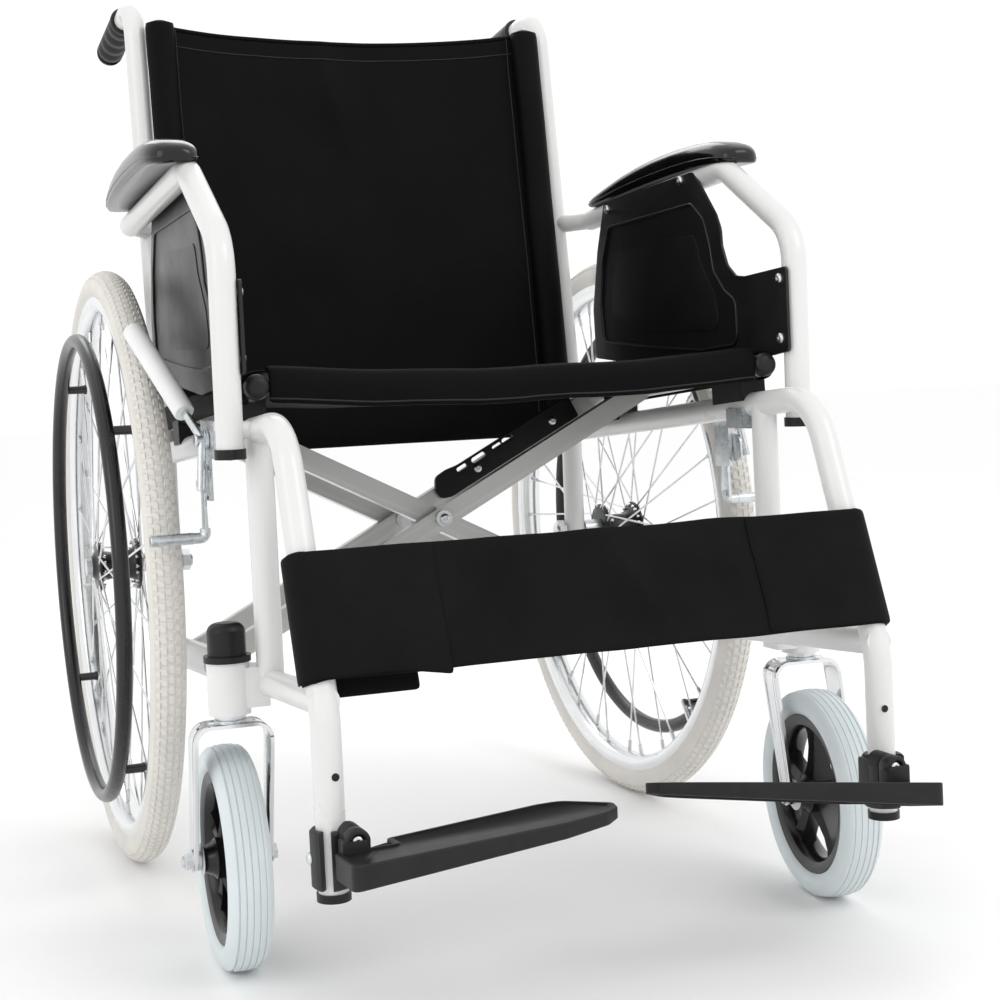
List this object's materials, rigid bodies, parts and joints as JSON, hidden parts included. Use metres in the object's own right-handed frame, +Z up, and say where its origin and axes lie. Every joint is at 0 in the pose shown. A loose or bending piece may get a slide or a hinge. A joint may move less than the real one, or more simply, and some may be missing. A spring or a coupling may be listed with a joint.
{
  "type": "manual wheelchair",
  "caption": "Self-propelled folding wheelchair with crossed braces, swivel casters, swing-up footplates, hand rims and push handles.",
  "frame": {"origin": "on the floor, under the middle of the bounding box", "axes": "+Z up, +Y towards the back of the chair, -Y its front, +X the sitter's left"},
  "size_m": [0.639, 0.977, 0.893],
  "materials": {
    "frame_paint": "satin",
    "arm_pad_black": "satin",
    "skirt_black": "satin",
    "cap_black": "satin",
    "grip_rubber": "matte",
    "saddle_black": "satin",
    "rear_tyre_grey": "matte",
    "rim_silver": "satin",
    "spoke_steel": "satin",
    "hub_black": "gloss",
    "handrim_black": "gloss",
    "zinc_steel": "satin",
    "brake_zinc": "satin",
    "sleeve_white": "satin",
    "footplate_black": "matte",
    "fork_chrome": "polished",
    "caster_tyre_grey": "matte",
    "core_black": "gloss",
    "brace_grey": "satin",
    "link_black": "satin",
    "seat_fabric": "matte",
    "back_fabric": "matte",
    "strap_fabric": "matte"
  },
  "bodies": {
    "side_r": {"r_cane": "frame_paint", "r_rail": "frame_paint", "r_lower_frame": "frame_paint", "r_armrest": "frame_paint", "r_arm_pad": "arm_pad_black", "r_skirt_panel": "skirt_black", "r_caster_mount": "frame_paint", "r_plugs": "cap_black", "r_push_grip": "grip_rubber", "r_seat_saddles": "saddle_black", "r_brake_bracket": "brake_zinc", "r_axle": "zinc_steel", "r_footplate_clamp": "footplate_black", "back_sling": "back_fabric", "calf_strap": "strap_fabric"},
    "arm_b": {"cross_b": "brace_grey", "seat_caps_b": "cap_black", "cross_pivots": "zinc_steel", "brace_link": "link_black", "seat_sling": "seat_fabric"},
    "arm_a": {"cross_a": "brace_grey", "seat_caps_a": "cap_black"},
    "side_l": {"l_cane": "frame_paint", "l_rail": "frame_paint", "l_lower_frame": "frame_paint", "l_armrest": "frame_paint", "l_arm_pad": "arm_pad_black", "l_skirt_panel": "skirt_black", "l_caster_mount": "frame_paint", "l_plugs": "cap_black", "l_push_grip": "grip_rubber", "l_seat_saddles": "saddle_black", "l_brake_bracket": "brake_zinc", "l_axle": "zinc_steel", "l_footplate_clamp": "footplate_black"},
    "wheel_r": {"r_wheel_tyre": "rear_tyre_grey", "r_wheel_rim": "rim_silver", "r_wheel_spokes": "spoke_steel", "r_wheel_hub": "hub_black", "r_handrim": "handrim_black"},
    "caster_fork_r": {"r_caster_fork": "fork_chrome"},
    "caster_wheel_r": {"r_caster_tyre": "caster_tyre_grey", "r_caster_core": "core_black"},
    "brake_lever_r": {"r_brake_lever": "brake_zinc", "r_brake_sleeve": "sleeve_white"},
    "brake_shoe_r": {"r_brake_shoe": "brake_zinc"},
    "footplate_r": {"r_footplate": "footplate_black"},
    "wheel_l": {"l_wheel_tyre": "rear_tyre_grey", "l_wheel_rim": "rim_silver", "l_wheel_spokes": "spoke_steel", "l_wheel_hub": "hub_black", "l_handrim": "handrim_black"},
    "caster_fork_l": {"l_caster_fork": "fork_chrome"},
    "caster_wheel_l": {"l_caster_tyre": "caster_tyre_grey", "l_caster_core": "core_black"},
    "brake_lever_l": {"l_brake_lever": "brake_zinc", "l_brake_sleeve": "sleeve_white"},
    "brake_shoe_l": {"l_brake_shoe": "brake_zinc"},
    "footplate_l": {"l_footplate": "footplate_black"}
  },
  "joints": [
    {"name": "fold", "type": "hinge", "parent": "side_r", "child": "arm_b", "pos_m": [-0.228, 0.04878, 0.21679], "axis": [0, -0.998, 0.0628], "range_deg": [0, 44], "deforming": ["seat_sling", "back_sling", "calf_strap"]},
    {"name": "cross_pivot", "type": "hinge", "parent": "arm_b", "child": "arm_a", "pos_m": [0, 0.05617, 0.33426], "axis": [0, -0.998, 0.0628], "range_deg": [-88, 0]},
    {"name": "side_l_hinge", "type": "hinge", "parent": "arm_a", "child": "side_l", "pos_m": [0.228, 0.04878, 0.21679], "axis": [0, -0.998, 0.0628], "range_deg": [0, 44]},
    {"name": "wheel_spin_r", "type": "hinge", "parent": "side_r", "child": "wheel_r", "pos_m": [-0.282, 0.1885, 0.3], "axis": [1, 0, 0], "continuous": true},
    {"name": "caster_swivel_r", "type": "hinge", "parent": "side_r", "child": "caster_fork_r", "pos_m": [-0.2605, -0.2385, 0.234], "axis": [0, 0, 1], "continuous": true},
    {"name": "caster_spin_r", "type": "hinge", "parent": "caster_fork_r", "child": "caster_wheel_r", "pos_m": [-0.25967, -0.21051, 0.091], "axis": [0.9996, -0.0297, 0], "continuous": true},
    {"name": "brake_lever_r", "type": "hinge", "parent": "side_r", "child": "brake_lever_r", "pos_m": [-0.254, -0.1495, 0.43], "axis": [1, 0, 0], "range_deg": [0, 21]},
    {"name": "brake_shoe_r", "type": "hinge", "parent": "side_r", "child": "brake_shoe_r", "pos_m": [-0.254, -0.1335, 0.392], "axis": [1, 0, 0], "range_deg": [0, 18]},
    {"name": "footplate_r", "type": "hinge", "parent": "side_r", "child": "footplate_r", "pos_m": [-0.218, -0.4415, 0.152], "axis": [0, -1, 0], "range_deg": [0, 89]},
    {"name": "wheel_spin_l", "type": "hinge", "parent": "side_l", "child": "wheel_l", "pos_m": [0.282, 0.1885, 0.3], "axis": [1, 0, 0], "continuous": true},
    {"name": "caster_swivel_l", "type": "hinge", "parent": "side_l", "child": "caster_fork_l", "pos_m": [0.2605, -0.2385, 0.234], "axis": [0, 0, 1], "continuous": true},
    {"name": "caster_spin_l", "type": "hinge", "parent": "caster_fork_l", "child": "caster_wheel_l", "pos_m": [0.25767, -0.26636, 0.091], "axis": [-0.9949, 0.1011, 0], "continuous": true},
    {"name": "brake_lever_l", "type": "hinge", "parent": "side_l", "child": "brake_lever_l", "pos_m": [0.254, -0.1495, 0.43], "axis": [1, 0, 0], "range_deg": [0, 21]},
    {"name": "brake_shoe_l", "type": "hinge", "parent": "side_l", "child": "brake_shoe_l", "pos_m": [0.254, -0.1335, 0.392], "axis": [1, 0, 0], "range_deg": [0, 18]},
    {"name": "footplate_l", "type": "hinge", "parent": "side_l", "child": "footplate_l", "pos_m": [0.218, -0.4415, 0.152], "axis": [0, 1, 0], "range_deg": [0, 82.5]}
  ],
  "couplings": [
    {"joint": "cross_pivot", "follows": "fold", "ratio": -2},
    {"joint": "side_l_hinge", "follows": "fold", "ratio": 1},
    {"joint": "brake_shoe_r", "follows": "brake_lever_r", "ratio": 0.85714},
    {"joint": "footplate_r", "follows": "fold", "ratio": 2.0227},
    {"joint": "brake_shoe_l", "follows": "brake_lever_l", "ratio": 0.85714},
    {"joint": "footplate_l", "follows": "fold", "ratio": 1.875}
  ]
}
